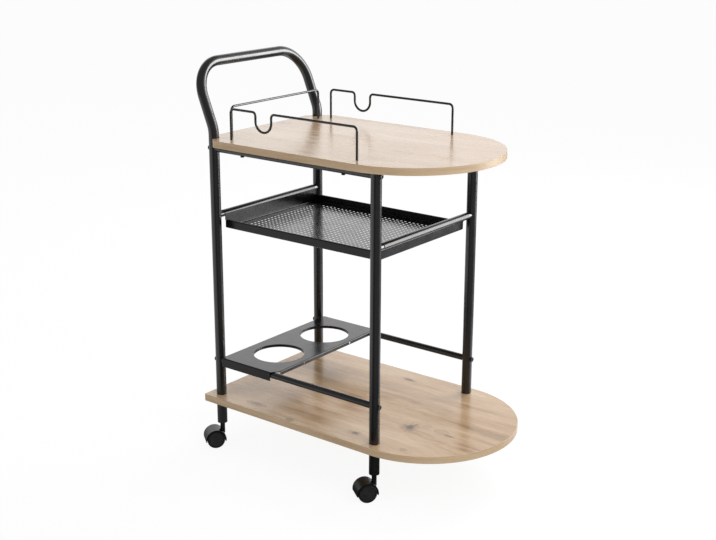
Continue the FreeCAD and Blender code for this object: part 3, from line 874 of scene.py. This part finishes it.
@dataclass
class HungTray:
    """The tray that hangs on the cross rails: a folded pan, and a sheet of small holes as its floor."""

    wardrobe: Wardrobe
    sheet: float = 0.001
    hang: float = 0.0003
    lip: float = 0.0185
    hem: float = 0.005
    hem_tail: float = 0.001
    hem_inset: float = 0.004
    margin: float = 0.015
    tail: float = 0.002
    bend: float = 0.0022
    edge: float = 0.0003
    mesh: float = 0.0005
    hole: float = 0.0053
    pitch: float = 0.011
    roll_steps: int = 14
    bend_steps: int = 4
    mesh_smooth: float = 50.0

    def build(self) -> None:
        """Models the pan and its floor, and hangs both on the tray's body."""
        rear_low, rear_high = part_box("tray_rail_rear")
        front_low, front_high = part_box("tray_rail_front")
        pan_low, pan_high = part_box("tray_pan")
        self.rails = ((rear_low + rear_high) / 2, (front_low + front_high) / 2)
        self.reach = (rear_high.z - rear_low.z) / 2 + self.hang + self.sheet / 2
        self.half = pan_high.y - self.sheet / 2
        self.floor = pan_low.z + self.sheet / 2
        self.wardrobe.hand_over(self._pan(), "tray", "black_sheet", "tray_pan")
        self.wardrobe.hand_over(self._perforated_floor(), "tray", "black_sheet", "tray_floor")

    def _pan(self) -> bpy.types.Object:
        """Folds the pan from one flat sheet.

        Returns:
            The pan.
        """
        rear, front = self.rails[0].x + self.reach, self.rails[1].x - self.reach
        crest = self.floor + self.lip - (self.hem + self.sheet) / 2
        pan = flat_sheet("tray_pan_folded", (rear, -self.half), (front, self.half), self.floor)
        with editing(pan):
            choose(pan, Part.FACE, lambda face: True)
            bpy.ops.mesh.inset(thickness=self.margin - self.sheet / 2)
            bpy.ops.mesh.delete(type="ONLY_FACE")
            choose(pan, Part.EDGE, lambda e: lies_at(e, 0, rear, front)
                   or lies_at(e, 1, -self.half, self.half))
            pull((0.0, 0.0, crest - self.floor))
            for cut in (rear + self.hem_inset, front - self.hem_inset):
                bpy.ops.mesh.select_all(action="SELECT")
                bpy.ops.mesh.bisect(plane_co=(cut, 0.0, 0.0), plane_no=(1.0, 0.0, 0.0))
            self._hems(pan, rear, front, crest)
            self._hooks(pan, rear, front, crest)
            choose(pan, Part.EDGE, lambda e: self._is_fold(e, rear, front))
            bpy.ops.mesh.bevel(offset=self.bend, segments=self.bend_steps, affect="EDGES")
        face_outwards(pan)
        modify(pan, "SOLIDIFY", thickness=self.sheet, offset=0.0, use_even_offset=True)
        soften(pan, self.edge)
        return pan

    def _is_fold(self, edge: bmesh.types.BMEdge, rear: float, front: float) -> bool:
        """Whether an edge is a fold between the floor and a wall, or between two walls.

        Args:
            edge: the edge to test.
            rear: where the rear wall stands.
            front: where the front wall stands.

        Returns:
            True for a fold.
        """
        at_end = lies_at(edge, 0, rear, front)
        at_side = lies_at(edge, 1, -self.half, self.half)
        at_floor = lies_at(edge, 2, self.floor)
        return len(edge.link_faces) == 2 and (at_floor and (at_end or at_side) or at_end and at_side)

    def _hems(self, pan: bpy.types.Object, rear: float, front: float, crest: float) -> None:
        """Rolls the top of each side wall inwards.

        Args:
            pan: the pan, in edit mode.
            rear: where the rear wall stands.
            front: where the front wall stands.
            crest: how high the roll starts.
        """
        ends = (rear + self.hem_inset, front - self.hem_inset)
        inside = self.half - (self.hem - self.sheet) / 2
        for side in (-1, 1):
            choose(pan, Part.EDGE, lambda e: lies_at(e, 2, crest) and lies_at(e, 1, side * self.half)
                   and all(ends[0] - TINY < v.co.x < ends[1] + TINY for v in e.verts))
            bpy.ops.mesh.spin(steps=self.roll_steps, angle=-side * math.pi, axis=(1.0, 0.0, 0.0),
                              center=(0.0, side * inside, crest))
            pull((0.0, 0.0, -self.hem_tail))

    def _hooks(self, pan: bpy.types.Object, rear: float, front: float, crest: float) -> None:
        """Rolls the top of each end wall over its rail.

        Args:
            pan: the pan, in edit mode.
            rear: where the rear wall stands.
            front: where the front wall stands.
            crest: how high the walls are so far.
        """
        for wall, rail, turn in ((rear, self.rails[0], math.pi), (front, self.rails[1], -math.pi)):
            choose(pan, Part.EDGE, lambda e: lies_at(e, 2, crest) and lies_at(e, 0, wall))
            pull((0.0, 0.0, rail.z - crest))
            bpy.ops.mesh.spin(steps=self.roll_steps, angle=turn, axis=(0.0, 1.0, 0.0),
                              center=(rail.x, 0.0, rail.z))
            pull((0.0, 0.0, -self.tail))

    def _perforated_floor(self) -> bpy.types.Object:
        """Makes the floor from one cell with a hole, copied in a square grid.

        Returns:
            The floor.
        """
        inset = Vector((self.reach - self.sheet / 2 + self.margin, 0.0, 0.0))
        side = Vector((0.0, self.half + self.sheet / 2 - self.margin, 0.0))
        low, high = self.rails[0] + inset - side, self.rails[1] - inset + side
        middle, span = (low + high) / 2, high - low
        counts = [int(reach / self.pitch - 0.5) for reach in span.xy]
        width, depth = (count * self.pitch for count in counts)
        corner = Vector((middle.x - width / 2, middle.y - depth / 2, self.floor))
        floor = self._cell(corner)
        for axis, count in enumerate(counts):
            step = [0.0, 0.0, 0.0]
            step[axis] = self.pitch
            modify(floor, "ARRAY", count=count, use_relative_offset=False, use_constant_offset=True,
                   constant_offset_displace=step, use_merge_vertices=True, merge_threshold=TINY)
        face_outwards(floor)
        with editing(floor):
            choose(floor, Part.EDGE, lambda e: lies_at(e, 0, corner.x, corner.x + width)
                   or lies_at(e, 1, corner.y, corner.y + depth))
            pull((0.0, 0.0, 0.0))
            bpy.ops.transform.resize(value=(span.x / width, span.y / depth, 1.0),
                                     center_override=(middle.x, middle.y, self.floor))
            bpy.ops.mesh.select_all(action="SELECT")
            bpy.ops.mesh.normals_make_consistent(inside=False)
        modify(floor, "SOLIDIFY", thickness=self.mesh, offset=0.0)
        select_only(floor)
        bpy.ops.object.shade_smooth_by_angle(angle=math.radians(self.mesh_smooth))
        return floor

    def _cell(self, corner: Vector) -> bpy.types.Object:
        """One square cell of the floor, with a round hole.

        Args:
            corner: its lowest corner.

        Returns:
            The cell.
        """
        far = corner + Vector((self.pitch, self.pitch, 0.0))
        middle = (corner + far) / 2
        near = 0.4 * self.pitch
        cell = flat_sheet("tray_floor_perforated", corner.xy, far.xy, self.floor)
        with editing(cell):
            bpy.ops.mesh.select_all(action="SELECT")
            bpy.ops.mesh.subdivide(number_cuts=3)
            choose(cell, Part.VERT, lambda v: (v.co.xy - middle.xy).length < TINY)
            bpy.ops.mesh.delete(type="VERT")
            choose(cell, Part.EDGE, lambda e: all((v.co.xy - middle.xy).length < near for v in e.verts))
            bpy.ops.mesh.subdivide(number_cuts=1, quadcorner="INNERVERT", ngon=True)
            bpy.ops.transform.tosphere(value=1.0, center_override=middle)
            ring = [v.co for v in bmesh.from_edit_mesh(cell.data).verts if v.select]
            size = self.hole / 2 * len(ring) / sum((co.xy - middle.xy).length for co in ring)
            bpy.ops.transform.resize(value=(size, size, 1.0), center_override=middle)
        return cell


@dataclass
class BottleRack:
    """The rack over the lower rails: one folded sheet with two bottle holes."""

    wardrobe: Wardrobe
    sheet: float = 0.0015
    corner_run: float = 0.014
    corner_cut: float = 0.0188
    lip: float = 0.0085
    bend: float = 0.0018
    edge: float = 0.0004
    bottle: float = 0.112
    bottle_pitch: float = 0.16
    bottle_setback: float = 0.08
    rim: float = 0.006
    rim_round: float = 0.0011
    lip_hole: float = 0.0055
    lip_hole_drop: float = 0.005
    hole_sides: int = 128
    lip_hole_sides: int = 32
    bend_steps: int = 5
    rim_steps: int = 4

    def build(self) -> None:
        """Folds the rack, drills it and puts it on its body."""
        low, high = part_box("bottle_rack")
        half_sheet = Vector((self.sheet / 2, self.sheet / 2, self.sheet / 2))
        rack = self._folded(low, high - half_sheet)
        for side in (-1, 1):
            middle = Vector((low.x + self.bottle_setback, side * self.bottle_pitch / 2, high.z))
            foot, through = Vector((0.0, 0.0, self.rim)), Vector((0.0, 0.0, 2 * self.rim))
            seat = middle - half_sheet.z * Vector((0.0, 0.0, 1.0))
            rim = round_bar("rim", self.bottle / 2 + self.sheet, middle - foot, seat, self.hole_sides)
            carve(rack, rim, "UNION")
            ends = middle - through, middle + through
            carve(rack, round_bar("bottle_cutter", self.bottle / 2, *ends, self.hole_sides))
            self._round_mouth(rack, middle)
            front = Vector((high.x, middle.y, high.z - self.lip_hole_drop))
            reach = Vector((2 * self.sheet, 0.0, 0.0))
            ends = front - reach, front + reach
            carve(rack, round_bar("lip_cutter", self.lip_hole / 2, *ends, self.lip_hole_sides))
        soften(rack, self.edge)
        self.wardrobe.hand_over(rack, "rack", "black_sheet", "bottle_rack")

    def _round_mouth(self, rack: bpy.types.Object, middle: Vector) -> None:
        """Rounds the upper edge of a bottle hole, as the drawn rim leaves it.

        Args:
            rack: the rack, with its hole.
            middle: the middle of the hole, on the sheet's upper face.
        """
        with editing(rack):
            choose(rack, Part.EDGE, lambda e: lies_at(e, 2, middle.z)
                   and all(abs((v.co.xy - middle.xy).length - self.bottle / 2) < 10 * TINY for v in e.verts))
            bpy.ops.mesh.bevel(offset=self.rim_round, segments=self.rim_steps, affect="EDGES")

    def _folded(self, low: Vector, high: Vector) -> bpy.types.Object:
        """Cuts the sheet's corners and folds its sides and its front lip down.

        Args:
            low: the lowest corner of the rack.
            high: the highest corner of the sheet's middle.

        Returns:
            The folded sheet.
        """
        rack = flat_sheet("bottle_rack_folded", (low.x, -high.y), (high.x, high.y), high.z)
        with editing(rack):
            for side in (-1, 1):
                bpy.ops.mesh.select_all(action="SELECT")
                bpy.ops.mesh.bisect(plane_co=(high.x - self.corner_run, side * high.y, high.z),
                                    plane_no=(self.corner_cut, side * self.corner_run, 0.0), clear_outer=True)
            choose(rack, Part.EDGE, lambda e: lies_at(e, 1, -high.y, high.y))
            pull((0.0, 0.0, low.z - high.z))
            choose(rack, Part.EDGE, lambda e: lies_at(e, 0, high.x))
            pull((0.0, 0.0, self.sheet / 2 - self.lip))
            choose(rack, Part.EDGE, lambda e: len(e.link_faces) == 2)
            bpy.ops.mesh.bevel(offset=self.bend, segments=self.bend_steps, affect="EDGES")
        face_outwards(rack)
        modify(rack, "SOLIDIFY", thickness=self.sheet, offset=0.0, use_even_offset=True)
        return rack


@dataclass
class Caster:
    """A twin-wheel caster, modelled once with its stem on the origin and its wheels trailing along X."""

    wardrobe: Wardrobe
    joints: dict[str, dict]
    wheel: float = 0.02
    wheel_width: float = 0.015
    web: float = 0.008
    wheel_gap: float = 0.0006
    hood_inside: float = 0.0212
    hood_outside: float = 0.0232
    hood_width: float = 0.0372
    hood_drop: float = 10.0
    hub: float = 0.007
    boss: float = 0.00525
    boss_foot: float = 0.03
    swivel_gap: float = 0.0002
    disc: float = 0.0165
    cap: float = 0.0055
    dish: float = 0.0012
    slope: float = 0.0006
    tread_round: float = 0.003
    tread_steps: int = 6
    inner_round: float = 0.0015
    inner_steps: int = 3
    edge: float = 0.0005
    edge_steps: int = 3
    hood_smooth: float = 30.0
    wheel_smooth: float = 28.0
    hood_sides: int = 128
    wheel_sides: int = 96
    boss_sides: int = 64

    def build(self) -> None:
        """Models the housing and the wheels, and stands a copy of each under every leg."""
        stem = Vector(self.joints["swivel_rear_right_turn"]["pos_m"])
        axle = Vector(self.joints["wheel_rear_right_a_roll"]["pos_m"])
        self.axle = Vector(((axle - stem).xy.length, 0.0, axle.z))
        self.height = stem.z
        housing, wheels = self._housing(), {side: self._wheel(side) for side in (-1, 1)}
        for corner in CORNERS:
            stem = Vector(self.joints[f"swivel_{corner}_turn"]["pos_m"])
            trail = Vector(self.joints[f"wheel_{corner}_a_roll"]["pos_m"]) - stem
            turn = Matrix.Rotation(math.atan2(trail.y, trail.x), 4, "Z")
            place = Matrix.Translation(stem.xy.to_3d()) @ turn
            node = f"caster_{corner}_housing"
            copy = stood(housing, node + "_moulded", place)
            self.wardrobe.hand_over(copy, f"swivel_{corner}", "caster_hood", node)
            for letter in "ab":
                node = f"caster_{corner}_wheel_{letter}"
                low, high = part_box(node)
                side = 1 if (place.inverted() @ ((low + high) / 2)).y > 0 else -1
                copy = stood(wheels[side], node + "_moulded", place)
                self.wardrobe.hand_over(copy, f"wheel_{corner}_{letter}", "caster_wheel", node)
        for model in (housing, *wheels.values()):
            bpy.data.objects.remove(model)

    def _across(self, reach: float) -> Vector:
        """The point on the axle that lies so far from its middle."""
        return self.axle + Vector((0.0, reach, 0.0))

    def _housing(self) -> bpy.types.Object:
        """The hood over both wheels, with the web between them, the hub and the swivel boss.

        Returns:
            The housing.
        """
        half, inner = self.hood_width / 2, self.web / 2
        ends = self._across(-half), self._across(half)
        housing = round_bar("caster_housing", self.hood_outside, *ends, self.hood_sides)
        for low, high in ((-2 * half, -inner), (inner, 2 * half)):
            ends = self._across(low), self._across(high)
            carve(housing, round_bar("wheel_space", self.hood_inside, *ends, self.hood_sides))
        brim = self.axle.z - self.hood_outside * math.sin(math.radians(self.hood_drop))
        with editing(housing):
            bpy.ops.mesh.select_all(action="SELECT")
            bpy.ops.mesh.bisect(plane_co=(0.0, 0.0, brim), plane_no=(0.0, 0.0, 1.0), clear_inner=True,
                                use_fill=True)
        ends = self._across(-inner), self._across(inner)
        carve(housing, round_bar("hub", self.hub, *ends, self.boss_sides), "UNION")
        foot, head = Vector((0.0, 0.0, self.boss_foot)), Vector((0.0, 0.0, self.height - self.swivel_gap))
        carve(housing, round_bar("boss", self.boss, foot, head, self.boss_sides), "UNION")
        soften(housing, self.edge, self.edge_steps, self.hood_smooth)
        return housing

    def _wheel(self, side: int) -> bpy.types.Object:
        """One wheel: a rounded tread, a dished disc and a hub cap on its outer face.

        Args:
            side: 1 for the wheel on the axle's +Y end, -1 for the other.

        Returns:
            The wheel.
        """
        inner = self.web / 2 + self.wheel_gap
        outer = inner + self.wheel_width
        ends = self._across(side * inner), self._across(side * outer)
        wheel = round_bar("caster_wheel", self.wheel, *ends, self.wheel_sides)
        wheel.data.materials.append(self.wardrobe.materials["caster_wheel"])
        wheel.data.materials.append(self.wardrobe.materials["caster_disc"])
        with editing(wheel):
            choose(wheel, Part.EDGE, lambda e: lies_at(e, 1, side * inner))
            bpy.ops.mesh.bevel(offset=self.inner_round, segments=self.inner_steps, affect="EDGES")
            choose(wheel, Part.EDGE, lambda e: lies_at(e, 1, side * outer))
            bpy.ops.mesh.bevel(offset=self.tread_round, segments=self.tread_steps, affect="EDGES")
            choose(wheel, Part.FACE, lambda f: lies_at(f, 1, side * outer))
            bpy.ops.mesh.inset(thickness=self.wheel - self.tread_round - self.disc)
            bpy.ops.mesh.inset(thickness=self.slope)
            bpy.ops.transform.translate(value=(0.0, -side * self.dish, 0.0))
            wheel.active_material_index = 1
            bpy.ops.object.material_slot_assign()
            bpy.ops.mesh.inset(thickness=self.disc - self.slope - self.cap)
            bpy.ops.mesh.inset(thickness=self.slope / 2)
            bpy.ops.transform.translate(value=(0.0, side * self.dish / 2, 0.0))
            bpy.ops.mesh.inset(thickness=self.cap / 3)
            bpy.ops.mesh.inset(thickness=self.cap / 3)
        face_outwards(wheel)
        select_only(wheel)
        bpy.ops.object.shade_smooth_by_angle(angle=math.radians(self.wheel_smooth))
        return wheel


def clear_new_file() -> None:
    """Takes away the cube, lamp and camera that a new file may hold."""
    for name in ("Cube", "Light", "Camera"):
        stray = bpy.data.objects.get(name)
        if stray is not None:
            bpy.data.objects.remove(stray)


def main() -> None:
    """Builds the cart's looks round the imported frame."""
    logging.basicConfig(level=logging.INFO, format="%(name)s: %(message)s")
    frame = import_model()
    bpy.ops.object.select_all(action="DESELECT")
    clear_new_file()
    wardrobe = Wardrobe.of(FINISHES)
    for subpart in frame["record"]["subparts"]:
        wardrobe.dress(frame["nodes"][subpart["node"]], subpart["material_slot"])
        LOG.info("%s wears %s", subpart["node"], subpart["material_slot"])
    joints = {joint["name"]: joint for joint in frame["joints"]}
    HungTray(wardrobe).build()
    BottleRack(wardrobe).build()
    Caster(wardrobe, joints).build()
    Studio().build()


if __name__ == "__main__":
    main()
